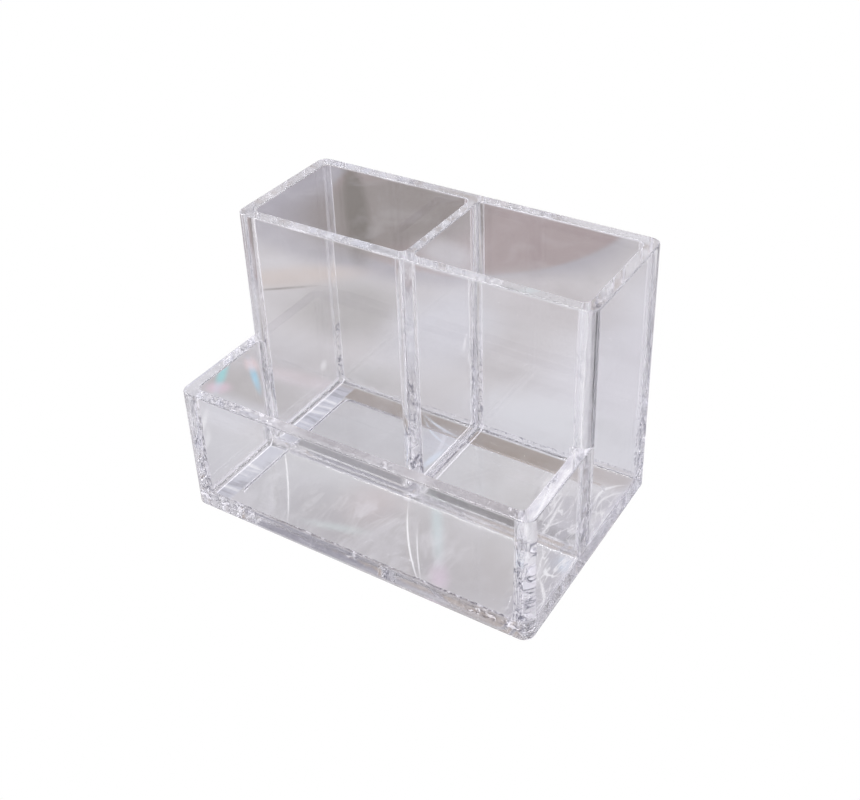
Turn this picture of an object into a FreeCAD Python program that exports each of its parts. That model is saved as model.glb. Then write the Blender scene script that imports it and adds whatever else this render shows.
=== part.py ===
"""Clear three-compartment brush holder.

Two tall square cups stand side by side at the back and one low open tray runs across the
front. Seven clear sheets are bonded edge to face: the two side sheets are stepped, tall
beside the cups and low beside the tray. A fillet of clear cement runs along every inside
corner of each compartment, and the underside is relieved so that only a band round its
edge touches the table.

Frame: millimetres, +Z up, the tray faces -Y, the origin is the centre of the underside.
"""
import FreeCAD, Part
import os

from FreeCAD import Vector

# ---- outer sizes
WIDTH = 120.0              # over the outer faces of the side sheets
DEPTH = 80.0               # front of the tray to back of the cups
CUP_HEIGHT = 88.0          # underside to cup rim
TRAY_HEIGHT = 43.0         # underside to tray rim
TRAY_REACH = 34.5          # front of the tray to front of the cups

# ---- sheets
WALL = 4.0                 # side, back, cup front and tray front sheets
DIVIDER = 3.0              # sheet between the cups
FLOOR = 3.0                # base sheet

# ---- edges and joints
OUTER_RADIUS = 3.5         # standing outer corners
CEMENT_RADIUS = 2.0        # cement fillets along the inside corners
RIM_ROUND = 0.5            # polished edges of the rims
FOOT_ROUND = 0.3           # eased edge round the underside

# ---- relief under the base sheet
FOOT_BAND = 10.5           # width of the band that touches the table
RELIEF_DEPTH = 0.6         # how far the middle stands clear of the table
RELIEF_RADIUS = 4.0        # corners of the relief

# ---- planes that the sheets share
LEFT, RIGHT = -WIDTH / 2, WIDTH / 2
FRONT, BACK = -DEPTH / 2, DEPTH / 2
IN_LEFT, IN_RIGHT = LEFT + WALL, RIGHT - WALL
TRAY_IN = FRONT + WALL                 # inner face of the tray front sheet
CUP_FACE = FRONT + TRAY_REACH          # outer face of the cup front sheet
CUP_IN = CUP_FACE + WALL               # its inner face
BACK_IN = BACK - WALL                  # inner face of the back sheet
DIV_LEFT, DIV_RIGHT = -DIVIDER / 2, DIVIDER / 2

TOUCH = 1e-6               # two coordinates closer than this are the same
CLEAR_ABOVE = CUP_HEIGHT   # how far a cutter stands above a rim


def block(x, y, z):
    """Plain block between the (low, high) pairs x, y and z."""
    corner = Vector(x[0], y[0], z[0])
    return Part.makeBox(x[1] - x[0], y[1] - y[0], z[1] - z[0], corner)


def edges_at(shape, height):
    """Edges that lie wholly in the level plane at this height."""
    return [e for e in shape.Edges if all(abs(v.Z - height) < TOUCH for v in e.Vertexes)]


def standing_edges(shape):
    """Straight edges that run along Z."""
    return [e for e in shape.Edges
            if isinstance(e.Curve, Part.Line) and abs(abs(e.Curve.Direction.z) - 1) < TOUCH]


def outer_block(y, height):
    """Full-width block with rounded standing corners, an eased foot and a polished rim."""
    shape = block((LEFT, RIGHT), y, (0, height))
    shape = shape.makeFillet(OUTER_RADIUS, standing_edges(shape))
    shape = shape.makeFillet(FOOT_ROUND, edges_at(shape, 0))
    return shape.makeFillet(RIM_ROUND, edges_at(shape, height))


def well(x, y, rim):
    """Cutter for one compartment: its standing and floor edges carry the cement radius."""
    shape = block(x, y, (FLOOR, rim + CLEAR_ABOVE))
    return shape.makeFillet(CEMENT_RADIUS, standing_edges(shape) + edges_at(shape, FLOOR))


def inner_rim_edges(shape, x, y, height):
    """Rim edges round one compartment: those at this height on or inside its walls."""
    def inside(v):
        return (x[0] - TOUCH < v.X < x[1] + TOUCH) and (y[0] - TOUCH < v.Y < y[1] + TOUCH)
    return [e for e in edges_at(shape, height) if all(inside(v) for v in e.Vertexes)]


def relief():
    """Shallow round-cornered pocket in the underside."""
    shape = block((LEFT + FOOT_BAND, RIGHT - FOOT_BAND), (FRONT + FOOT_BAND, BACK - FOOT_BAND),
                  (-RELIEF_DEPTH, RELIEF_DEPTH))
    return shape.makeFillet(RELIEF_RADIUS, standing_edges(shape))


LEFT_CUP = ((IN_LEFT, DIV_LEFT), (CUP_IN, BACK_IN))
RIGHT_CUP = ((DIV_RIGHT, IN_RIGHT), (CUP_IN, BACK_IN))
TRAY = ((IN_LEFT, IN_RIGHT), (TRAY_IN, CUP_FACE))


def bonded_body():
    """The whole holder as it is once bonded and polished, before it is told apart."""
    body = outer_block((FRONT, BACK), TRAY_HEIGHT).fuse(outer_block((CUP_FACE, BACK), CUP_HEIGHT))
    for compartment, rim in ((LEFT_CUP, CUP_HEIGHT), (RIGHT_CUP, CUP_HEIGHT), (TRAY, TRAY_HEIGHT)):
        body = body.cut(well(*compartment, rim)).removeSplitter()
        body = body.makeFillet(RIM_ROUND, inner_rim_edges(body, *compartment, rim))
    return body.cut(relief())


# Each piece is the stretch of the bonded body between its bond planes: x, y, z.
STANDING = (FLOOR, CUP_HEIGHT)
PIECES = {
    "base_plate": ((LEFT, RIGHT), (FRONT, BACK), (0, FLOOR)),
    "left_side_panel": ((LEFT, IN_LEFT), (FRONT, BACK), STANDING),
    "right_side_panel": ((IN_RIGHT, RIGHT), (FRONT, BACK), STANDING),
    "tray_front_panel": ((IN_LEFT, IN_RIGHT), (FRONT, TRAY_IN), STANDING),
    "cup_front_panel": ((IN_LEFT, IN_RIGHT), (CUP_FACE, CUP_IN), STANDING),
    "back_panel": ((IN_LEFT, IN_RIGHT), (BACK_IN, BACK), STANDING),
    "cup_divider": ((DIV_LEFT, DIV_RIGHT), (CUP_IN, BACK_IN), STANDING),
    "left_cup_cement_fillet": (*LEFT_CUP, STANDING),
    "right_cup_cement_fillet": (*RIGHT_CUP, STANDING),
    "tray_cement_fillet": (*TRAY, STANDING),
}

os.makedirs("parts", exist_ok=True)
whole = bonded_body()
for name, (x, y, z) in PIECES.items():
    piece = whole.common(block(x, y, z)).removeSplitter()
    piece.exportStep(f"parts/{name}.step")
    print(f"{name}: {len(piece.Solids)} solid, {piece.Volume:.1f} mm3, valid {piece.isValid()}")
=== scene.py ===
"""Clear stepped brush holder: bonded clear sheets with cement fillets, dressed for a white studio.

Every shape is worked out in millimetres as whole numpy grids from the same sizes that the
solid part uses, and goes into Blender in metres. A grid is always (rows, columns, 3).
"""

import logging
import math
from dataclasses import dataclass
from enum import Enum
from typing import Any, Callable, Optional, Sequence, Union

import bpy
import numpy as np
from mathutils import Matrix, Vector

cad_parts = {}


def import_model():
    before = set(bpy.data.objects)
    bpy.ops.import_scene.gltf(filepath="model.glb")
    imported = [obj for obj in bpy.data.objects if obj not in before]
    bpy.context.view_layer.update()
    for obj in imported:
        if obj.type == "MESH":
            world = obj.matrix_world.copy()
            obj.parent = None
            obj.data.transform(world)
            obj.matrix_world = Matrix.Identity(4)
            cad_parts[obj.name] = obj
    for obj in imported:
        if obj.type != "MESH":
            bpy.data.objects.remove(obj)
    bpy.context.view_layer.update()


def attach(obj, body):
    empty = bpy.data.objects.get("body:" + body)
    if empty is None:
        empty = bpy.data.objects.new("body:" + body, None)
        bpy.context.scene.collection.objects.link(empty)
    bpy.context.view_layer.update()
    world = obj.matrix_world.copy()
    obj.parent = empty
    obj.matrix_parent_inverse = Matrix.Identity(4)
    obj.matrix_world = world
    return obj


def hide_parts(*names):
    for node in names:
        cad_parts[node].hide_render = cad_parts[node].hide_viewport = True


LOG = logging.getLogger("brush_holder")
MM = 0.001
NEAR = 1e-6  # stations closer than this are one
HAIR = 1e-7  # how far inside an outline its direction is asked for
QUARTER = math.pi / 2
UP, DOWN = (0, 0, 1), (0, 0, -1)
# places across a cement column, in millimetres from its bare edge to the wall behind it
COLUMN_LINES = np.array([0, .25, .5, .75, 1, 1.2, 1.35, 1.45, 1.5, 1.6, 2])
# shares across a side sheet's rim, crowded at both polished edges
RIM_SHARES = np.array([0, .0085, .034, .075, .125, .2, .35, .5, .65, .8, .875, .925, .966, .9915, 1.0])
# shares from a cement column's face to the standing corner behind it
BEHIND_SHARES = np.array([0, .02, .08, .18, .3, .45, .6, .8, 1.0])
# the cement's waves: share, turns in a millimetre, turn across and phase of each sine
SINES = ((0.5, 0.83, 1.7, 1.0), (0.3, 1.91, -1.1, 2.1), (0.2, 3.37, 0.6, 3.3))

Rim = Callable[[np.ndarray, np.ndarray], tuple[np.ndarray, np.ndarray]]


# --------------------------------------------------------------------------- sizes and plans


@dataclass(frozen=True)
class RoundedPlan:
    """A rectangle seen from above, with rounded corners, in millimetres."""

    x0: float
    x1: float
    y0: float
    y1: float
    radius: float

    def distance(self, x: np.ndarray, y: np.ndarray) -> tuple[np.ndarray, np.ndarray]:
        """Signed distance to the outline, below zero inside.

        The distance is the length of how far a point lies past the inner rectangle, whose sides
        stand one radius in from the outline, less the radius.

        Args:
            x: places along X.
            y: places along Y.

        Returns:
            The distance and the unit direction (..., 2) in which it grows.
        """
        cx, cy = (self.x0 + self.x1) / 2, (self.y0 + self.y1) / 2
        sx, sy = np.where(x < cx, -1.0, 1.0), np.where(y < cy, -1.0, 1.0)
        qx = np.abs(x - cx) - ((self.x1 - self.x0) / 2 - self.radius)
        qy = np.abs(y - cy) - ((self.y1 - self.y0) / 2 - self.radius)
        past = np.hypot(np.maximum(qx, 0), np.maximum(qy, 0))
        corner = (qx > 1e-9) & (qy > 1e-9)
        safe = np.where(corner, past, 1.0)
        along_x = np.where(corner, qx / safe, qx >= qy) * sx
        along_y = np.where(corner, qy / safe, qx < qy) * sy
        return past + np.minimum(np.maximum(qx, qy), 0) - self.radius, np.stack([along_x, along_y], -1)

    def reach(self, y: np.ndarray) -> np.ndarray:
        """Half width of the plan at places along Y: full between the corners, on the arc past them.

        Args:
            y: places along Y.

        Returns:
            The half width at each.
        """
        past = np.maximum(np.maximum(self.y0 + self.radius - y, y - (self.y1 - self.radius)), 0)
        inner = (self.x1 - self.x0) / 2 - self.radius
        return inner + np.sqrt(np.maximum(self.radius**2 - past**2, 0))


@dataclass(frozen=True)
class Sizes:
    """Sizes in millimetres; the origin is the centre of the underside, the tray faces -Y."""

    width: float = 120.0
    depth: float = 80.0
    cup_height: float = 88.0
    tray_height: float = 43.0
    tray_reach: float = 34.5
    wall: float = 4.0
    divider: float = 3.0
    floor: float = 3.0
    corner: float = 3.5
    cement: float = 2.0
    rim: float = 0.5
    foot: float = 0.3
    foot_band: float = 10.5
    relief_depth: float = 0.6
    relief_corner: float = 4.0
    arc_steps: int = 12

    @property
    def right(self) -> float:
        """Outer face of the right side sheet."""
        return self.width / 2

    @property
    def back(self) -> float:
        """Outer face of the back sheet."""
        return self.depth / 2

    @property
    def inner_right(self) -> float:
        """Inner face of the right side sheet."""
        return self.right - self.wall

    @property
    def tray_inner(self) -> float:
        """Inner face of the tray front sheet."""
        return self.wall - self.back

    @property
    def cup_face(self) -> float:
        """Outer face of the cup front sheet."""
        return self.tray_reach - self.back

    @property
    def cup_inner(self) -> float:
        """Inner face of the cup front sheet."""
        return self.cup_face + self.wall

    @property
    def back_inner(self) -> float:
        """Inner face of the back sheet."""
        return self.back - self.wall

    @property
    def half_divider(self) -> float:
        """Half the divider's thickness."""
        return self.divider / 2

    @property
    def arc(self) -> np.ndarray:
        """Insets along Y of the points of an outer standing corner, at even turns."""
        return self.corner * (1 - np.sin(np.linspace(0, QUARTER, self.arc_steps + 1)))

    @property
    def fillet_rows(self) -> list[np.ndarray]:
        """Places along Y across the cement columns at the front, middle and back sheets."""
        return [self.tray_inner + self.cement - COLUMN_LINES, self.cup_inner + self.cement - COLUMN_LINES,
                self.cup_face - self.cement + COLUMN_LINES, self.back_inner - self.cement + COLUMN_LINES]


def eased(radius: float, steps: int = 5) -> np.ndarray:
    """Offsets from a polished edge at even turns of its quarter round: radius times (1 - cosine)."""
    return radius * (1 - np.cos(np.linspace(0, QUARTER, steps + 1)))


def stations(low: float, high: float, *parts: np.ndarray) -> np.ndarray:
    """Both ends and every place between them in rising order, each once.

    Args:
        low: the first.
        high: the last.
        parts: the places; those outside the ends are left out.

    Returns:
        The places kept.
    """
    every = np.sort(np.concatenate([[low, high], *parts]))
    every = every[np.concatenate([[True], np.diff(every) > NEAR])]
    return every[(every > low - NEAR) & (every < high + NEAR)]


class Body:
    """The whole bonded and polished holder as formulas: outlines, rim heights and what is solid."""

    def __init__(self, sizes: Sizes) -> None:
        """Lays out the outlines of both blocks, the three wells and the relief.

        Args:
            sizes: the holder's sizes.
        """
        s = self.sizes = sizes
        self.low = RoundedPlan(-s.right, s.right, -s.back, s.back, s.corner)
        self.tall = RoundedPlan(-s.right, s.right, s.cup_face, s.back, s.corner)
        self.left_cup = RoundedPlan(-s.inner_right, -s.half_divider, s.cup_inner, s.back_inner, s.cement)
        self.right_cup = RoundedPlan(s.half_divider, s.inner_right, s.cup_inner, s.back_inner, s.cement)
        self.tray = RoundedPlan(-s.inner_right, s.inner_right, s.tray_inner, s.cup_face, s.cement)
        x, y = s.right - s.foot_band, s.back - s.foot_band
        self.relief = RoundedPlan(-x, x, -y, y, s.relief_corner)

    def _rim(self, x: np.ndarray, y: np.ndarray, height: float, outline: RoundedPlan,
             wells: Sequence[RoundedPlan]) -> tuple[np.ndarray, np.ndarray]:
        """Height and normal of a flat rim whose edges are quarter rounds.

        Within one round of the nearest free edge the surface falls as a circle does: the height is
        the rim less radius times (1 - root of (1 - e squared)), where e is how far into the round
        the point lies, from 0 at its start to 1 at the edge.

        Args:
            x: places along X.
            y: places along Y.
            height: the rim's height.
            outline: the block's outline.
            wells: the openings in the block.

        Returns:
            The height and the unit normal at each place.
        """
        inner, way = outline.distance(x, y)
        nearest = -inner
        for well in wells:
            gap, toward = well.distance(x, y)
            closer = gap < nearest
            nearest = np.where(closer, gap, nearest)
            way = np.where(closer[..., None], -toward, way)
        e = np.clip((self.sizes.rim - nearest) / self.sizes.rim, 0, 1)
        up = np.sqrt(np.maximum(1 - e * e, 0))
        normal = np.concatenate([way * e[..., None], up[..., None]], -1)
        return height - self.sizes.rim * (1 - up), normal

    def low_rim(self, x: np.ndarray, y: np.ndarray) -> tuple[np.ndarray, np.ndarray]:
        """Height and normal of the tray's rim at (x, y)."""
        return self._rim(x, y, self.sizes.tray_height, self.low, [self.tray])

    def tall_rim(self, x: np.ndarray, y: np.ndarray) -> tuple[np.ndarray, np.ndarray]:
        """Height and normal of the cups' rim at (x, y)."""
        return self._rim(x, y, self.sizes.cup_height, self.tall, [self.left_cup, self.right_cup])

    def solid(self, p: np.ndarray) -> np.ndarray:
        """True where the holder is plastic.

        A point is solid if it is inside either block and below its rim, and not in a well, whose
        upright and floor edges are rounded by the cement, nor in the relief underneath.

        Args:
            p: (..., 3) points.

        Returns:
            A truth value for each.
        """
        s, x, y, z = self.sizes, p[..., 0], p[..., 1], p[..., 2]
        low = (self.low.distance(x, y)[0] < 0) & (z < self.low_rim(x, y)[0])
        tall = (self.tall.distance(x, y)[0] < 0) & (z < self.tall_rim(x, y)[0])
        found = (low | tall) & (z > 0)
        for well in (self.left_cup, self.right_cup, self.tray):
            q = np.stack([
                np.abs(x - (well.x0 + well.x1) / 2) - (well.x1 - well.x0) / 2 + well.radius,
                np.abs(y - (well.y0 + well.y1) / 2) - (well.y1 - well.y0) / 2 + well.radius,
                s.floor + well.radius - z], -1)
            past = np.linalg.norm(np.maximum(q, 0), axis=-1) + np.minimum(q.max(-1), 0)
            found &= past >= well.radius
        return found & ~((self.relief.distance(x, y)[0] < 0) & (z < s.relief_depth))


# --------------------------------------------------------------------------- meshes


class Face(Enum):
    """What a stretch of a piece's surface is, so that each gets its own finish."""

    SHEET = "clear sheet face"
    RIM = "polished rim"
    ROUND = "eased rim edge"
    CEMENT = "cement fillet"
    COLUMN = "cement column"
    SOLE = "ground foot band"
    RELIEF = "relief ceiling"
    STEP = "relief step"
    BOND = "bonded face"


def grid(x: Any, y: Any, z: Any) -> np.ndarray:
    """Points (..., 3) from coordinates that broadcast together."""
    return np.stack(np.broadcast_arrays(x, y, z), -1)


def risen(x: Any, y: Any, levels: Sequence[Any]) -> np.ndarray:
    """An upright grid: a row for each plan point (x, y), a column for each level."""
    return np.stack([grid(x, y, z) for z in levels], 1)


def upright(way: np.ndarray) -> np.ndarray:
    """Level normals (rows, 1, 3) for an upright grid from its rows' plan directions."""
    return grid(way[:, 0], way[:, 1], 0.0)[:, None]


def swept(plan: np.ndarray, way: np.ndarray, out: np.ndarray, up: np.ndarray) -> np.ndarray:
    """A section carried round a plan: at each point, out along its direction and up.

    Args:
        plan: (rows, 2) points.
        way: (rows, 2) directions.
        out: (cols,) the section's distances along them.
        up: (cols,) the section's heights.

    Returns:
        The grid (rows, cols, 3).
    """
    moved = plan[:, None] + way[:, None] * out[:, None]
    return grid(moved[..., 0], moved[..., 1], up)


def unit(vectors: np.ndarray) -> np.ndarray:
    """The same directions with length 1."""
    return vectors / np.maximum(np.linalg.norm(vectors, axis=-1, keepdims=True), 1e-12)


class Skin:
    """Gathers grids of one piece and closes them into a mesh with exact normals."""

    kinds = list(Face)
    rounds_from = 0.97  # an edge of a rim whose normal rises less than this is eased
    probe = 0.002  # how far outside a face plastic is looked for

    def __init__(self, body: Body) -> None:
        """Starts an empty skin.

        Args:
            body: tells bonded faces from bare ones.
        """
        self.body = body
        self.corners: list[np.ndarray] = []
        self.normals: list[np.ndarray] = []
        self.faces: list[np.ndarray] = []

    def patch(self, points: np.ndarray, normals: Any, face: Face, test: bool = False) -> None:
        """Adds a grid, turned so that its faces look the way its normals do.

        Args:
            points: (rows, cols, 3) in millimetres.
            normals: unit normals, outwards: one for each point, for each row or for the grid.
            face: the finish of the part of it that is bare.
            test: whether quads with plastic beyond them become bonded faces; for flat grids only.
        """
        normals = np.broadcast_to(np.asarray(normals, float), points.shape)
        quads, turned = (np.stack([g[:-1, :-1], g[1:, :-1], g[1:, 1:], g[:-1, 1:]], 2).reshape(-1, 4, 3)
                         for g in (points, normals))
        facing = np.cross(quads[:, 2] - quads[:, 0], quads[:, 3] - quads[:, 1])
        if (facing * turned.mean(1)).sum() < 0:
            quads, turned = quads[:, ::-1], turned[:, ::-1]
        kind = np.full(len(quads), self.kinds.index(face))
        outward = unit(turned.mean(1))
        if face == Face.RIM:
            kind[outward[:, 2] < self.rounds_from] = self.kinds.index(Face.ROUND)
        if test:
            buried = self.body.solid(quads.mean(1) + outward * self.probe)
            kind[buried] = self.kinds.index(Face.BOND)
        self.corners.append(quads)
        self.normals.append(turned)
        self.faces.append(kind)

    def rim(self, x: np.ndarray, y: np.ndarray, top: Rim) -> None:
        """Adds a rim over a grid of plan points.

        Args:
            x: their places along X.
            y: their places along Y.
            top: gives its height and normals.
        """
        x, y = np.broadcast_arrays(x, y)
        z, normals = top(x, y)
        self.patch(grid(x, y, z), normals, Face.RIM)

    def mirrored(self) -> "Skin":
        """The same skin on the other side of the holder, with its faces still outwards.

        Returns:
            A new skin.
        """
        other = Skin(self.body)
        flip = np.array([-1.0, 1.0, 1.0])
        other.corners = [c[:, ::-1] * flip for c in self.corners]
        other.normals = [n[:, ::-1] * flip for n in self.normals]
        other.faces = [f.copy() for f in self.faces]
        return other

    def mesh(self, name: str) -> tuple[bpy.types.Object, list[Face]]:
        """Merges equal corners, drops faces with no area and makes the object.

        Args:
            name: the piece's name.

        Returns:
            The object, linked to the scene, and the finishes its material slots stand for.
        """
        quads, normals = np.concatenate(self.corners), np.concatenate(self.normals)
        kinds = np.concatenate(self.faces)
        keys, index = np.unique(np.round(quads.reshape(-1, 3), 5), axis=0, return_inverse=True)
        index = index.reshape(-1, 4)
        keep = index != np.roll(index, -1, 1)
        keep &= ~((index[:, [0]] == index[:, [2]]) | (index[:, [1]] == index[:, [3]]))
        good = keep.sum(1) >= 3
        keep, index, normals, kinds = keep[good], index[good], normals[good], kinds[good]
        total = keep.sum(1)
        used = sorted(set(kinds.tolist()))
        mesh = bpy.data.meshes.new(name)
        mesh.vertices.add(len(keys))
        mesh.vertices.foreach_set("co", (keys * MM).astype(np.float32).ravel())
        mesh.loops.add(int(total.sum()))
        mesh.loops.foreach_set("vertex_index", index[keep].astype(np.int32))
        mesh.polygons.add(len(total))
        mesh.polygons.foreach_set("loop_start", (np.cumsum(total) - total).astype(np.int32))
        mesh.polygons.foreach_set("material_index", np.searchsorted(used, kinds).astype(np.int32))
        mesh.update(calc_edges=True)
        mesh.polygons.foreach_set("use_smooth", np.ones(len(total), bool))
        mesh.normals_split_custom_set(normals[keep].tolist())
        mesh.validate()
        piece = bpy.data.objects.new(name, mesh)
        bpy.context.scene.collection.objects.link(piece)
        return piece, [self.kinds[k] for k in used]


# --------------------------------------------------------------------------- sub-assemblies


@dataclass
class StraightSheet:
    """A sheet with two level ends: tray front, cup front, back or divider."""

    body: Body
    x: tuple[float, float]
    y: tuple[float, float]
    low: bool = False

    def _lines(self) -> tuple[np.ndarray, np.ndarray]:
        """Stations along X and Y: polished edges, cement lines and the neighbours' faces.

        Returns:
            Both rows of stations.
        """
        s, rim = self.body.sizes, eased(self.body.sizes.rim)
        across = [np.array([0.0])]
        for sign in (-1, 1):
            across += [sign * (s.inner_right - s.cement + COLUMN_LINES),
                       sign * (s.half_divider + s.cement - COLUMN_LINES)]
        (x0, x1), (y0, y1) = self.x, self.y
        return (stations(x0, x1, *across, x0 + rim, x1 - rim),
                stations(y0, y1, *s.fillet_rows, y0 + rim, y1 - rim))

    def skin(self) -> Skin:
        """A box whose top follows the rim and whose sides end where the rim begins.

        Returns:
            The sheet's skin.
        """
        s, skin = self.body.sizes, Skin(self.body)
        top = self.body.low_rim if self.low else self.body.tall_rim
        xs, ys = self._lines()
        gx, gy = np.meshgrid(xs, ys, indexing="ij")
        skin.rim(gx, gy, top)
        skin.patch(grid(gx, gy, s.floor), DOWN, Face.SHEET, test=True)
        sides = [(xs, np.full_like(xs, edge), (0, sign, 0)) for edge, sign in zip(self.y, (-1, 1))]
        sides += [(np.full_like(ys, edge), ys, (sign, 0, 0)) for edge, sign in zip(self.x, (-1, 1))]
        for x, y, way in sides:
            step = () if self.low else (self.body.low_rim(x, y)[0],)
            levels = (s.floor, s.floor + s.cement, *step, top(x, y)[0])
            skin.patch(risen(x, y, levels), way, Face.SHEET, test=True)
        return skin


@dataclass
class StairSheet:
    """A stepped side sheet: low by the tray, tall by the cup, its outer standing corners rounded."""

    body: Body

    def _rows(self, low: float, high: float) -> np.ndarray:
        """Stations along Y from low to high: the corner arcs' and the cement columns'."""
        s = self.body.sizes
        return stations(low, high, s.back - s.arc, s.arc - s.back, s.arc + s.cup_face, *s.fillet_rows)

    def _columns(self, rows: np.ndarray, rest: np.ndarray) -> np.ndarray:
        """Places along X over the full width: as far as the corners' inner end, then to the outline.

        Args:
            rows: stations along Y.
            rest: shares of the outer part.

        Returns:
            The places (rows, cols).
        """
        s = self.body.sizes
        inner, corner = s.inner_right, s.wall - s.corner
        near = np.broadcast_to(inner + corner * RIM_SHARES, (len(rows), len(RIM_SHARES)))
        far = inner + corner + (self.body.low.reach(rows) - inner - corner)[:, None] * rest
        return np.concatenate([near, far[:, 1:]], 1)

    def _outer(self, skin: Skin, rows: np.ndarray, levels: Sequence[float]) -> None:
        """Adds a stretch of the outer face.

        Args:
            skin: the sheet's skin.
            rows: stations along Y; the outline's reach is taken at each.
            levels: heights.
        """
        x = self.body.low.reach(rows)
        _, way = self.body.low.distance(x - HAIR, rows)
        at_end = (np.abs(rows) > self.body.sizes.back - NEAR)[:, None]
        way = np.where(at_end, np.sign(rows)[:, None] * (0, 1), way)
        skin.patch(risen(x, rows, levels), upright(way), Face.SHEET)

    def skin(self) -> Skin:
        """The right-hand sheet.

        Its plan runs from the inner face to the outline's reach at each row. Over the tray it ends
        in the low rim; the tall part stands on it with a rounded front corner of its own.

        Returns:
            The sheet's skin.
        """
        s, body, skin = self.body.sizes, self.body, Skin(self.body)
        inner, step_end = s.inner_right, s.cup_face + s.corner
        bead, tray_top, top = s.floor + s.cement, s.tray_height - s.rim, s.cup_height - s.rim
        low, tall = self._rows(-s.back, s.cup_face), self._rows(s.cup_face, s.back)
        ledge = self._rows(s.cup_face, step_end)
        rest = np.concatenate([np.linspace(0, .8, 5), 1 - eased(s.rim)[::-1] / (s.wall - s.rim)])
        # rims: tall, low as far as the cup face, and low beside the rounded corner
        skin.rim(inner + (body.tall.reach(tall) - inner)[:, None] * RIM_SHARES, tall[:, None], body.tall_rim)
        skin.rim(self._columns(low, rest), low[:, None], body.low_rim)
        start = body.tall.reach(ledge)[:, None]
        skin.rim(start + (s.right - start) * rest, ledge[:, None], body.low_rim)
        for rows in (low, tall):
            skin.patch(grid(self._columns(rows, rest), rows[:, None], s.floor), DOWN, Face.SHEET, test=True)
        # inner face, then outer face
        for rows, rim, step in ((low, body.low_rim, ()), (tall, body.tall_rim, (s.tray_height,))):
            levels = (s.floor, bead, *step, rim(np.full_like(rows, inner), rows)[0])
            skin.patch(risen(inner, rows, levels), (-1, 0, 0), Face.SHEET, test=True)
        self._outer(skin, self._rows(-s.back, step_end), (s.floor, bead, tray_top))
        self._outer(skin, self._rows(step_end, s.back), (s.floor, bead, tray_top, top))
        # rounded front corner of the tall part
        x = body.tall.reach(ledge)
        _, way = body.tall.distance(x - HAIR, ledge)
        way[0] = (0, -1)
        skin.patch(risen(x, ledge, (body.low_rim(x, ledge)[0], top)), upright(way), Face.SHEET)
        # narrow level ends: tray front, back, and the front of the tall part
        x = inner + (s.wall - s.corner) * RIM_SHARES
        for edge, levels in ((-s.back, (s.floor, bead, tray_top)),
                             (s.back, (s.floor, bead, s.tray_height - s.rim * RIM_SHARES, top)),
                             (s.cup_face, (body.low_rim(x, np.full_like(x, s.cup_face))[0], top))):
            skin.patch(risen(x, edge, levels), (0, np.sign(edge), 0), Face.SHEET)
        return skin


@dataclass
class BasePlate:
    """The floor sheet under all three compartments, with an eased foot and a relieved middle."""

    body: Body
    step_run: float = 1.4

    def skin(self) -> Skin:
        """A slab: gridded top, walls swept round its outline, a flat foot band and a shallow recess.

        Returns:
            The plate's skin.
        """
        s, r, skin = self.body.sizes, self.body.relief, Skin(self.body)
        bead = s.cement
        ys = stations(-s.back, s.back, s.arc - s.back, s.back - s.arc, [
            s.tray_inner, s.tray_inner + bead, s.cup_face - bead, s.cup_face,
            s.cup_inner, s.cup_inner + bead, s.back_inner - bead, s.back_inner])
        half = np.array([s.half_divider, s.half_divider + bead, s.inner_right - bead, s.inner_right])
        inner = np.concatenate([-half[::-1], half])
        edge = self.body.low.reach(ys)[:, None]
        xs = np.concatenate([-edge, np.broadcast_to(inner, (len(ys), len(inner))), edge], 1)
        top = grid(xs, ys[:, None], s.floor)
        skin.patch(top, UP, Face.SHEET, test=True)
        # outline, counter-clockwise from the front left
        ring = np.concatenate([top[0], top[1:, -1], top[-1, -2::-1], top[-2::-1, 0]])[:, :2]
        _, way = self.body.low.distance(*(ring * (1 - 1e-9)).T)
        at_end = (np.abs(ring[:, 1]) > s.back - NEAR)[:, None]
        way = np.where(at_end, np.sign(ring) * (0, 1), way)
        turn = np.linspace(0, QUARTER, 5)
        lean = np.concatenate([[0.0], turn])
        inset = np.concatenate([[0.0], s.foot * (1 - np.cos(turn))])
        level = np.concatenate([[s.floor], s.foot * (1 - np.sin(turn))])
        wall = swept(ring, way, -inset, level)
        skin.patch(wall, swept(0 * ring, way, np.cos(lean), -np.sin(lean)), Face.SHEET)
        # foot band
        straight, kept = np.array([s.right, s.back]) - s.corner, np.array([r.x1, r.y1]) - r.radius
        corner = (np.abs(ring) > straight - NEAR).all(-1)[:, None]
        pocket = way * r.radius + np.where(corner, np.sign(ring) * kept,
                                           np.clip(ring * kept / straight, -kept, kept))
        skin.patch(np.stack([wall[:, -1], grid(*pocket.T, 0.0)], 1), DOWN, Face.SOLE)
        # the recess wall is a soft step: height is the depth times (3 share squared - 2 share cubed)
        share = np.linspace(0, 1, 9)
        slope = 6 * s.relief_depth * share * (1 - share) / self.step_run
        step = swept(pocket, way, -self.step_run * share, s.relief_depth * share**2 * (3 - 2 * share))
        skin.patch(step, unit(swept(0 * pocket, way, -slope, np.full_like(share, -1.0))), Face.STEP)
        middle = grid(*(pocket * (0.5, 0.0)).T, s.relief_depth)
        skin.patch(np.stack([step[:, -1], middle], 1), DOWN, Face.RELIEF)
        return skin


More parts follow.
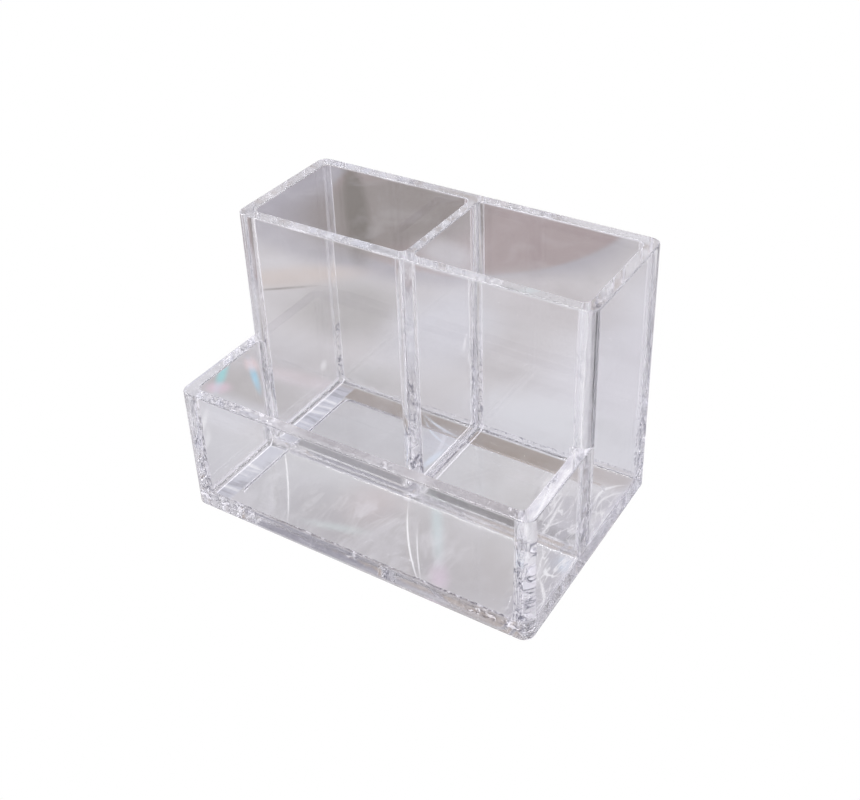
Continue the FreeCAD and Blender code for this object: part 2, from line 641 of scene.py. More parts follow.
@dataclass
class CementBead:
    """Cured cement round one compartment: a fillet along the floor and up the standing corners."""

    body: Body
    well: RoundedPlan
    low: bool = False
    steps: int = 10
    swell: float = 0.09
    swell_calm: float = 1.7
    drift: float = 0.05
    drift_calm: float = 6.0
    settle: float = 4.0
    stride: float = 0.8
    seed: float = 0.0

    def _wave(self, along: np.ndarray, across: np.ndarray, calm: float) -> np.ndarray:
        """A wave from -1 to 1: the sum of three sines of the way along, their phases turned across.

        Each sine fits a whole number of times into the way along, so that a closed run meets itself.

        Args:
            along: the way along, in millimetres.
            across: turns across.
            calm: how far the sines are drawn out.

        Returns:
            The wave at each place.
        """
        a = along - along.min()
        whole = 2 * math.pi / max(float(a.max()), NEAR)
        return sum(share * np.sin(whole * max(1, round(fast / whole / calm)) * a + turn * across
                                  + phase * self.seed) for share, fast, turn, phase in SINES)

    def _swollen(self, points: np.ndarray, normals: np.ndarray, fade: np.ndarray, along: np.ndarray,
                 across: np.ndarray, height: float, calm: float) -> tuple[np.ndarray, np.ndarray]:
        """Moves a surface along its normals by the wave and works out its slopes again where it moved.

        Args:
            points: the grid.
            normals: its normals.
            fade: share of the wave at each point.
            along: the way along, in millimetres.
            across: turns across.
            height: the wave's height.
            calm: how far it is drawn out.

        Returns:
            The moved grid and its normals.
        """
        moved = points + normals * (height * fade * self._wave(along, across, calm))[..., None]
        fresh = unit(np.cross(np.gradient(moved, axis=0), np.gradient(moved, axis=1)))
        fresh *= np.sign((fresh * normals).sum(-1, keepdims=True) + 1e-12)
        share = np.clip(fade * 4, 0, 1)[..., None]
        mixed = normals * (1 - share) + fresh * share
        return moved, mixed / np.linalg.norm(mixed, axis=-1, keepdims=True)

    def _behind(self, centre: np.ndarray, way: np.ndarray) -> np.ndarray:
        """Plan points where the walls stand behind the cement, from its centres and directions."""
        return centre + way * (self.body.sizes.cement / np.abs(way).max(1, keepdims=True))

    def skin(self) -> Skin:
        """A ring whose section is the corner between wall and floor less a quarter disc, with four
        upright columns of the same section turned about the standing corners.

        Returns:
            The bead's skin.
        """
        s, w, r, skin = self.body.sizes, self.well, self.body.sizes.cement, Skin(self.body)
        top = self.body.low_rim if self.low else self.body.tall_rim
        height = s.tray_height if self.low else s.cup_height
        x0, x1, y0, y1 = w.x0 + r, w.x1 - r, w.y0 + r, w.y1 - r
        turns = np.linspace(0, QUARTER, self.steps + 1)
        corners = np.array([(x1, y0), (x1, y1), (x0, y1), (x0, y0)])
        centre, angle, along, spans = [], [], [], []
        run, begun = 0.0, 0
        for i, corner in enumerate(corners):
            side, first = corner - corners[i - 1], (i - 1) * QUARTER
            length = float(np.linalg.norm(side))
            share = np.linspace(0, 1, max(3, int(length / self.stride)))
            centre += [corners[i - 1] + side * share[:, None], np.broadcast_to(corner, (len(turns), 2))]
            angle += [np.full(len(share), first), first + turns]
            along += [run + share * length, run + length + turns * r]
            spans.append((corner, first, begun, begun + len(share)))
            run, begun = run + (length + r * QUARTER), begun + len(share) + len(turns)
        centre, angle, along = np.concatenate(centre), np.concatenate(angle), np.concatenate(along)
        way = np.stack([np.cos(angle), np.sin(angle)], -1)
        # bare fillet along the floor: radius times the sine outwards and 1 - cosine upwards
        fillet = swept(centre, way, r * np.sin(turns), s.floor + r * (1 - np.cos(turns)))
        normal = swept(0 * centre, way, -np.sin(turns), np.cos(turns))
        far, turned = np.meshgrid(along, turns, indexing="ij")
        skin.patch(*self._swollen(fillet, normal, np.sin(2 * turned) ** 2, far, turned,
                                  self.swell, self.swell_calm), Face.CEMENT)
        # its hidden sides, and a column at each corner
        out = self._behind(centre, way)
        skin.patch(np.stack([grid(*centre.T, s.floor), grid(*out.T, s.floor)], 1), DOWN, Face.BOND)
        levels = np.linspace(s.floor + r, height - s.rim, 1 + int(height))
        for corner, first, begin, end in spans:
            skin.patch(risen(*out[begin:end].T, (s.floor, s.floor + r)), (*way[begin], 0), Face.BOND)
            self._column(skin, corner, first + turns, levels, top)
        return skin

    def _column(self, skin: Skin, centre: np.ndarray, angle: np.ndarray, levels: np.ndarray,
                top: Rim) -> None:
        """Adds one standing corner: a concave quarter tube, its rim and the two flats behind it.

        Args:
            skin: the bead's skin.
            centre: the tube's centre in plan.
            angle: its turns.
            levels: heights from the fillet to the rim.
            top: gives the rim's height and normals.
        """
        s = self.body.sizes
        way = np.stack([np.cos(angle), np.sin(angle)], -1)
        plan, out = centre + way * s.cement, self._behind(centre, way)
        points = grid(plan[:, :1], plan[:, 1:], levels)
        turned, far = np.meshgrid(angle - angle[0], levels, indexing="ij")
        ends = np.clip(np.minimum(far - levels[0], levels[-1] - far) / self.settle, 0, 1)
        skin.patch(*self._swollen(points, np.broadcast_to(upright(-way), points.shape),
                                  np.sin(2 * turned) ** 2 * ends, far, turned, self.drift, self.drift_calm),
                   Face.COLUMN)
        spread = plan[:, None] + (out - plan)[:, None] * BEHIND_SHARES[:, None]
        skin.rim(spread[..., 0], spread[..., 1], top)
        high = top(*out.T)[0]
        half = len(angle) // 2
        for part, facing in ((slice(0, half + 1), way[0]), (slice(half, len(angle)), way[-1])):
            skin.patch(risen(*out[part].T, (s.floor, *levels, high[part])), (*facing, 0), Face.BOND)


# --------------------------------------------------------------------------- finishes


Value = Union["Signal", float, int, Sequence[float]]
Colour = tuple[float, float, float]


def _operator(operation: str, flipped: bool = False) -> Callable[..., "Signal"]:
    """Makes a method of Signal that adds one Math node.

    Args:
        operation: Blender's name of the operation.
        flipped: whether the signal is the last value, as in 1 - mask, and not the first.

    Returns:
        The method.
    """
    def method(self: "Signal", *others: Value) -> "Signal":
        """The node's output for this signal and the others."""
        values = (*others, self) if flipped else (self, *others)
        return self.bench.add("ShaderNodeMath", {"operation": operation}, dict(enumerate(values)))
    return method


class Signal:
    """A socket in a sum: each operator adds the Math node that works it out."""

    def __init__(self, bench: "Bench", socket: Optional[bpy.types.NodeSocket]) -> None:
        """Wraps an output.

        Args:
            bench: the node tree it belongs to.
            socket: the output, if there is one.
        """
        self.bench, self.socket = bench, socket

    __add__, __radd__ = _operator("ADD"), _operator("ADD", flipped=True)
    __sub__, __rsub__ = _operator("SUBTRACT"), _operator("SUBTRACT", flipped=True)
    __mul__, __rmul__ = _operator("MULTIPLY"), _operator("MULTIPLY", flipped=True)
    __truediv__, __pow__, __abs__ = _operator("DIVIDE"), _operator("POWER"), _operator("ABSOLUTE")
    least, most = _operator("MINIMUM"), _operator("MAXIMUM")

    def ramp(self, low: float, high: float) -> "Signal":
        """Smooth step: 0 up to low, 1 from high on. With low above high it falls instead.

        Args:
            low: where it is 0.
            high: where it is 1.

        Returns:
            The step.
        """
        step = self.bench.add("ShaderNodeMapRange", {"interpolation_type": "SMOOTHSTEP"},
                              {"Value": self, "From Min": min(low, high), "From Max": max(low, high)})
        return 1 - step if low > high else step


class Bench:
    """A node tree under construction."""

    def __init__(self, tree: bpy.types.NodeTree) -> None:
        """Clears the tree.

        Args:
            tree: a material's or the world's.
        """
        self.tree = tree
        tree.nodes.clear()

    def add(self, kind: str, settings: Optional[dict[str, Any]] = None,
            sockets: Optional[dict[Union[str, int], Value]] = None, out: Union[str, int] = 0) -> Signal:
        """Adds one node.

        Args:
            kind: Blender's name of the node type.
            settings: its own settings, set first.
            sockets: values or links of its inputs.
            out: the output to return.

        Returns:
            That output.
        """
        node = self.tree.nodes.new(kind)
        for name, value in (settings or {}).items():
            setattr(node, name, value)
        for name, value in (sockets or {}).items():
            self._feed(node.inputs[name], value)
        return Signal(self, node.outputs[out] if len(node.outputs) else None)

    def _feed(self, socket: bpy.types.NodeSocket, value: Value) -> None:
        """Links a signal to an input, or sets a value there.

        Args:
            socket: the input.
            value: a signal, or the value to set.
        """
        if isinstance(value, Signal):
            self.tree.links.new(value.socket, socket)
        else:
            socket.default_value = value

    def place(self, stretch: Sequence[float] = (1, 1, 1), turn: Sequence[float] = (0, 0, 0),
              shift: Sequence[float] = (0, 0, 0)) -> Signal:
        """Object coordinates in metres, turned, stretched and shifted.

        Args:
            stretch: factors along the axes.
            turn: turns about them in radians.
            shift: what is added.

        Returns:
            The coordinates.
        """
        where = self.add("ShaderNodeTexCoord", out="Object")
        return self.add("ShaderNodeMapping", None,
                        {"Vector": where, "Scale": stretch, "Rotation": turn, "Location": shift})

    def split(self, where: Signal) -> tuple[Signal, Signal, Signal]:
        """The three parts of a vector."""
        outputs = self.add("ShaderNodeSeparateXYZ", None, {0: where}).socket.node.outputs
        return Signal(self, outputs[0]), Signal(self, outputs[1]), Signal(self, outputs[2])

    def millimetres(self) -> tuple[Signal, Signal, Signal]:
        """Object coordinates X, Y and Z in millimetres."""
        return self.split(self.place((1 / MM, 1 / MM, 1 / MM)))

    def noise(self, where: Signal, scale: float, detail: float = 2.0, roughness: float = 0.5,
              distortion: float = 0.0) -> Signal:
        """Cloudy noise from 0 to 1."""
        return self.add("ShaderNodeTexNoise", None, {"Vector": where, "Scale": scale, "Detail": detail,
                                                     "Roughness": roughness, "Distortion": distortion})

    def mix(self, share: Value, a: Value, b: Value) -> Signal:
        """Mixes colours.

        Args:
            share: how much of b.
            a: the first colour.
            b: the second colour.

        Returns:
            The mixture.
        """
        node = self.tree.nodes.new("ShaderNodeMix")
        node.data_type = "RGBA"
        for name, value in (("Factor_Float", share), ("A_Color", a), ("B_Color", b)):
            self._feed(next(i for i in node.inputs if i.identifier == name), value)
        return Signal(self, next(o for o in node.outputs if o.identifier == "Result_Color"))

    def blend(self, share: Value, a: Signal, b: Signal) -> Signal:
        """Shader a to shader b."""
        return self.add("ShaderNodeMixShader", None, {0: share, 1: a, 2: b})

    def diffuse(self, colour: Colour, **sockets: Value) -> Signal:
        """A matt shader."""
        return self.add("ShaderNodeBsdfDiffuse", None, {"Color": (*colour, 1.0), **sockets})

    def clear(self, colour: Colour) -> Signal:
        """A shader that lets rays straight through."""
        return self.add("ShaderNodeBsdfTransparent", None, {"Color": (*colour, 1.0)})

    def glow(self, colour: Value, kind: str = "ShaderNodeEmission") -> Signal:
        """A shader that shows a colour as it is; kind is the node type."""
        return self.add(kind, None, {"Color": colour, "Strength": 1.0})

    def finish(self, surface: Signal) -> None:
        """Ends the tree in this surface."""
        kind = "World" if isinstance(self.tree.id_data, bpy.types.World) else "Material"
        self.add(f"ShaderNodeOutput{kind}", None, {"Surface": surface})


def painted(name: str) -> tuple[bpy.types.Material, Bench]:
    """A new material and its empty node tree.

    Args:
        name: the material's name.

    Returns:
        Both.
    """
    made = bpy.data.materials.new(name)
    made.use_nodes = True
    return made, Bench(made.node_tree)


def rgb(red: float, green: float, blue: float) -> tuple[float, float, float, float]:
    """A colour from its 0 to 255 display values, in linear light.

    Args:
        red: its red.
        green: its green.
        blue: its blue.

    Returns:
        Red, green, blue and 1.
    """
    def lit(v: float) -> float:
        """One channel."""
        c = v / 255
        return c / 12.92 if c <= 0.04045 else ((c + 0.055) / 1.055) ** 2.4
    return (lit(red), lit(green), lit(blue), 1.0)


@dataclass(frozen=True)
class ClearPlastic:
    """Polished clear plastic: fine scratches, faint flow waves, smears and a little haze."""

    # besides haze, its milk paints highlights: white lines along the cement and the relief step, and bright
    # eased edges
    name: str
    roughness: float = 0.012
    smear: float = 0.03
    wave: float = 0.05
    # milk from haze; on eased edges it is a painted highlight along the edge
    haze_and_highlight: float = 0.0
    haze_and_highlight_patches: float = 0.008
    # painted highlight: share of milk in the white lines at the given places along X
    painted_highlight: float = 0.0
    line: float = 0.25
    lines: tuple[float, ...] = ()
    clear_front: float = 0.0
    tint: Colour = (0.994, 0.993, 0.996)
    milk_and_highlight: Colour = (0.93, 0.92, 0.95)
    shadow: Colour = (0.93, 0.93, 0.94)
    ior: float = 1.49
    scratch_depth: float = 0.005
    scratch_roughness: float = 0.12
    scratch_milk: float = 0.06
    smear_grain: float = 55.0
    scratch_grains: tuple[float, float] = (420.0, 360.0)
    worn_grain: float = 38.0
    wave_grain: float = 46.0

    def material(self) -> bpy.types.Material:
        """Builds the node material.

        Scratches are thin level sets of two stretched noises, waves a broad noise, and both only
        tilt the surface; smears roughen it in cloudy patches and haze adds a little milk. Lines
        at some places along X, as wide as line is to each side in millimetres, get milk as a painted
        highlight: those at the divider only behind the cup's front, and not where the cup's front
        shades the tray's cement. The painted highlight may be left off the low front rim's edge.

        Returns:
            The material.
        """
        made, b = painted(self.name)
        smear = b.noise(b.place(), self.smear_grain, 3.0, 0.6).ramp(0.52, 0.78)
        one, other = self.scratch_grains
        lines = b.noise(b.place((1, 1, 0.12), (0.5, 0.35, 0.2)), one, 1.0)
        crossed = b.noise(b.place((1, 0.1, 1), (0.2, 0.9, -0.4), (0.3, 0.1, 0.2)), other, 1.0)
        fine = abs(lines - 0.5).ramp(0.012, 0.0).most(abs(crossed - 0.5).ramp(0.010, 0.0))
        worn = b.noise(b.place(shift=(0.4, 0.2, 0.1)), self.worn_grain, 2.0).ramp(0.50, 0.66)
        marks = fine * worn
        swell = b.noise(b.place(shift=(0.7, 0.3, 0.5)), self.wave_grain, 2.0, 0.45)
        height = swell * self.wave + marks * self.scratch_depth
        glass = b.add("ShaderNodeBsdfPrincipled", None, {
            "Base Color": (*self.tint, 1.0), "IOR": self.ior, "Transmission Weight": 1.0,
            "Roughness": self.roughness + smear * self.smear + marks * self.scratch_roughness,
            "Normal": b.add("ShaderNodeBump", None, {"Strength": 0.5, "Distance": MM, "Height": height})})
        # share of milk: haze, smears and scratches, and on eased edges and white lines painted highlights
        share = self.haze_and_highlight + smear * self.haze_and_highlight_patches + marks * self.scratch_milk
        x, y, z = b.millimetres()
        if self.clear_front:
            front_edge = y.ramp(-39.2, -39.6) * z.ramp(41.5, 42.2) * z.ramp(44.0, 43.5)
            share = share * (1 - front_edge * self.clear_front)
        # painted highlights: white lines of milk along the cement's edges and the relief step
        for middle in self.lines:
            line = abs(x - middle).ramp(self.line, self.line * 0.4) * self.painted_highlight
            share = share.most(line * y.ramp(-3.0, -2.0) if middle in BY_DIVIDER else line)
        surface = b.blend(share, glass, b.diffuse(self.milk_and_highlight, Roughness=0.5))
        b.finish(b.blend(b.add("ShaderNodeLightPath", out="Is Shadow Ray"), surface, b.clear(self.shadow)))
        return made


@dataclass(frozen=True)
class BondedFace:
    """Where two pieces are bonded: clear cement that hardly shows but for bubbles and thin spots."""

    name: str = "bonded face"
    shade: Colour = (0.42, 0.42, 0.48)
    bright: Colour = (0.96, 0.95, 0.98)
    shaded: float = 0.80
    brightened: float = 0.45
    bubble_grain: float = 430.0
    fleck_grain: float = 1500.0
    crowd_grain: float = 90.0

    def material(self) -> bpy.types.Material:
        """Builds the node material.

        Bubbles are the level lines of a noise, dark, round its high parts, bright; grains are the
        ends of a finer noise. Both crowd together where a broader noise is high and at the front
        corners, over the lower half of the standing joints and at the ends of the base joints.

        Returns:
            The material.
        """
        made, b = painted(self.name)
        x, y, z = b.millimetres()
        ripple = b.noise(b.place((1, 1, 0.6), shift=(0.1, 0.3, 0.2)), self.bubble_grain, 1.0, 0.5, 0.6)
        grain = b.noise(b.place((1, 1, 0.55)), self.fleck_grain, 2.0, 0.55, 0.8)
        standing = z.ramp(3.4, 5.0) * (z.ramp(46, 26) * 0.85 + 0.15)
        corners, divider = abs(x).ramp(34, 44) * y.ramp(-34, -37), abs(x).ramp(2.2, 1.8)
        lying = z.ramp(3.3, 3.1) * corners.most(divider * 0.5)
        crowd = b.noise(b.place(shift=(0.2, 0.6, 0.1)), self.crowd_grain, 2.0).ramp(0.42, 0.60)
        crowd = crowd.most(y.ramp(-34, -36)).most(y.ramp(33, 35) * x.ramp(-9, -5))
        place = (standing * crowd).most(lying)
        dim = abs(ripple - 0.5).ramp(0.036, 0.010).most(grain.ramp(0.59, 0.65) * 0.7)
        shine = ripple.ramp(0.56, 0.62).most(grain.ramp(0.42, 0.36) * 0.6)
        face = b.blend(dim * place * self.shaded, b.clear((1.0, 1.0, 1.0)), b.clear(self.shade))
        b.finish(b.blend(shine * place * self.brightened, face, b.diffuse(self.bright)))
        return made


# places along X of the painted highlight lines: both edges of the cement at a sheet's faces
LEFT_WALL, RIGHT_WALL, BY_DIVIDER = (-55.85, -54.2), (54.2, 55.85), (-3.3, -1.7, 1.7, 3.3)

FINISHES: dict[Face, Union[ClearPlastic, BondedFace]] = {
    Face.SHEET: ClearPlastic("clear sheet"),
    Face.RIM: ClearPlastic("polished rim", 0.06, smear=0.10, wave=0.35, haze_and_highlight=0.10, haze_and_highlight_patches=0.12),
    # eased rim edges: their strong haze is a painted highlight of milk along the edges, left off the low
    # front rim's edge
    Face.ROUND: ClearPlastic("eased edge", 0.05, smear=0.10, wave=0.10, haze_and_highlight=0.16, haze_and_highlight_patches=0.40,
                             clear_front=0.9),
    # painted highlights: white lines of milk on the cement fillets, the cement columns and the relief step
    Face.CEMENT: ClearPlastic("cement fillet", 0.015, wave=0.25, haze_and_highlight=0.02, haze_and_highlight_patches=0.05,
                              painted_highlight=0.75, lines=LEFT_WALL + BY_DIVIDER),
    Face.COLUMN: ClearPlastic("cement column", 0.015, wave=0.25, haze_and_highlight=0.05, haze_and_highlight_patches=0.06,
                              painted_highlight=0.34, line=0.3, lines=LEFT_WALL + BY_DIVIDER + RIGHT_WALL),
    Face.SOLE: ClearPlastic("ground sole", 0.05, haze_and_highlight_patches=0.01),
    Face.RELIEF: ClearPlastic("moulded relief", 0.04, haze_and_highlight_patches=0.01),
    Face.STEP: ClearPlastic("relief step", 0.04, haze_and_highlight_patches=0.03, painted_highlight=0.6, line=0.35,
                            lines=(-49.2, -48.0)),
    Face.BOND: BondedFace(),
}


# --------------------------------------------------------------------------- studio


WHITE = (252, 251, 255)
# pale blue of painted caustic strokes
GLINT_BLUE = (226, 232, 245)


@dataclass(frozen=True)
class ToneSpot:
    """A soft-edged patch of another tone on the floor card: an oval, a strip or a bent stroke.

    Lengths are in millimetres, the turn in degrees, the tone in display values. Some patches are
    painted contact shadows under the foot bands, others painted caustic light.
    """

    centre: tuple[float, float]
    reach: tuple[float, float]
    tone: Colour
    turn: float = 0.0
    soft: float = 0.6
    share: float = 1.0
    bend: float = 0.0
    squared: bool = False

    def lay(self, b: Bench, x: Signal, y: Signal, below: Signal) -> Signal:
        """Lays the patch over the tones below it.

        Its mask is 1 where the length of (along / reach, across / reach) is under 1 less the soft
        share, and falls smoothly to 0 at 1 plus the soft share. A squared patch takes the larger of
        the two instead. A bent one is measured from a parabola that lies across by its bend in the
        middle and by nothing at its ends.

        Args:
            b: the card's node tree.
            x: place along X in millimetres.
            y: place along Y in millimetres.
            below: the colour so far.

        Returns:
            The colour with the patch.
        """
        c, s = math.cos(math.radians(self.turn)), math.sin(math.radians(self.turn))
        u, v = x - self.centre[0], y - self.centre[1]
        along, across = (u * c + v * s) / self.reach[0], v * c - u * s
        if self.bend:
            across = across - (1 - along * along) * self.bend
        across = across / self.reach[1]
        far = abs(along).most(abs(across)) if self.squared else (along * along + across * across) ** 0.5
        return b.mix(far.ramp(1 + self.soft, 1 - self.soft) * self.share, below, rgb(*self.tone))


# each row: centre, reach, tone, turn, soft, share, bend, squared; later rows lie on earlier ones
TONES = (
    ((-128, 172), (118, 66), (168, 164, 173), 0, 0.12),
    ((-87, 194), (73, 73), (165, 151, 153), 0, 0.03),
    ((-118, 160), (38, 44), (142, 134, 133), -50, 0.35),
    ((-134, 157), (46, 5.5), (114, 107, 103), -51.5, 0.5),
    ((-122, 91), (28, 8), (200, 189, 186), 36),
    ((-119, 82), (12, 0.9), (150, 143, 142), 37),
    ((-86, 82), (22, 20), (174, 170, 171), 0, 0.5),
    ((-92, 42), (14, 14), (200, 197, 202)),
    ((-44, 92), (18, 30), (206, 205, 213)),
    ((-18, 126), (26, 18), (196, 191, 195)),
    ((-50, 40), (16, 14), (193, 191, 194)),
    ((-74, 138), (15, 9), (190, 186, 191), -25, 0.6, 0.9),
    ((-80, -20), (22, 20), (199, 198, 205), 0, 0.5),
    ((-84, 6), (14, 12), (210, 209, 217)),
    ((26, 52), (34, 16), (213, 213, 220)),
    ((-76, 32), (16, 4), (214, 206, 212), 8),
    ((-84, 18), (24, 9), (188, 184, 186), 0, 0.5),
    ((0, -4), (64, 42), (202, 201, 206), 0, 0.2),
    ((26, 20), (30, 14), (211, 210, 214), 0, 0.5),
    ((12, -22), (42, 17), (183, 179, 182), 0, 0.5),
    # painted contact shadows: dark strips under the back foot band, under the front of the cups on both sides
    # of the divider and under the front foot band; the last strip here is a pale bluish one under the left
    # wall
    ((-8, 32.7), (51, 3.3), (154, 143, 136), 0, 0.1, 0.9, 0, True),
    ((-28.5, 3.8), (25, 3.7), (126, 123, 130), 0, 0.08, 0.9, 0, True),
    ((26, 3.7), (24, 3.4), (85, 81, 84), 0, 0.08, 0.9, 0, True),
    ((12, -39), (52, 4.5), (142, 134, 138), 0, 0.3, 0.8, 0, True),
    ((-53, 0), (3.4, 35), (204, 205, 219), 0, 0.08, 0.8, 0, True),
    # painted caustic light: small cyan and pink spots beside the left wall
    ((-101, 18), (8, 1.6), (140, 232, 238), -60, 0.8, 0.55),
    ((-90.5, 24), (9, 1.1), (150, 218, 248), -41, 0.8, 0.6),
    ((-97, 11.5), (4, 3), (244, 210, 232), 20, 0.8, 0.5),
    ((-96, 29), (4, 2), (250, 222, 226), -40, 0.8, 0.6),
    ((58, 4), (5, 34), (208, 205, 218), 1, 0.5),
    # painted contact shadow under the back right corner of the foot
    ((47, 35), (9, 6), (166, 155, 151), 0, 0.5, 0.8),
    # the pale cyan, pink and blue rows below are painted caustic light under the tray and by the right wall
    ((14.6, -12), (13, 1.6), (205, 226, 230), -57, 0.9, 0.5),
    ((26, -29.5), (5, 2.4), (226, 204, 224), -57, 0.9, 0.6),
    ((52, -9), (3, 3), (206, 218, 236)),
    ((-9, 24), (8, 7), (206, 206, 219), 0, 0.6, 0.7),
    ((-9, -12), (8, 8), (200, 187, 189), 0, 0.9, 0.6),
    ((-13, -27), (8, 1.6), (216, 226, 226), 15, 0.9, 0.6),
)
# light gathered in strokes
GLINTS = (
    ((-40, -17), (17, 0.28), WHITE, -50, 0.5, 1, 0.6),
    ((11.5, -21.5), (15, 0.28), WHITE, -52, 0.5, 1, -1),
    ((15.4, -24), (10, 0.22), WHITE, -55, 0.5, 0.7, -0.3),
    ((50, 26), (6, 0.5), WHITE, 73, 0.6, 1, 2),
    ((52, 23), (6, 0.4), WHITE, 73, 0.6, 0.8, 2),
    ((40, 10.6), (8, 0.4), WHITE, -85),
    ((44, 0), (3.4, 1), WHITE, -20, 0.6, 1, 0.6),
    ((50.6, -12.7), (2.6, 0.5), WHITE, -30, 0.6, 1, -2.4),
    ((52.6, -24), (7, 0.5), WHITE, -59, 0.6, 1, 0.8),
    ((53.5, -5), (18, 0.4), WHITE, -80, 0.6, 1, 1.5),
    ((57, 2), (20, 0.35), WHITE, -88, 0.6, 0.8, -1),
    ((-13.4, 32.2), (7.7, 0.5), GLINT_BLUE, -17, 0.7, 1, -0.8),
    ((-11.8, 28), (8.3, 0.4), GLINT_BLUE, -28, 0.7, 1, -1.2),
    ((-6.3, 16), (5, 1.2), (222, 231, 247), 84, 0.7),
    ((-9, 25), (6, 0.6), (236, 236, 248), -72, 0.8, 0.7, 1),
    ((-86, -8), (9, 0.9), WHITE, -59, 0.8, 0.5),
    ((-80, -14), (7, 1), WHITE, -62, 0.8, 0.35, 1),
    ((-33, 84), (5, 0.5), WHITE, 115, 0.7, 0.6),
    ((-27, 77), (4, 0.4), WHITE, 115, 0.7, 0.5),
    ((-72, 44), (3, 1), WHITE, 120, 0.8, 0.5),
)


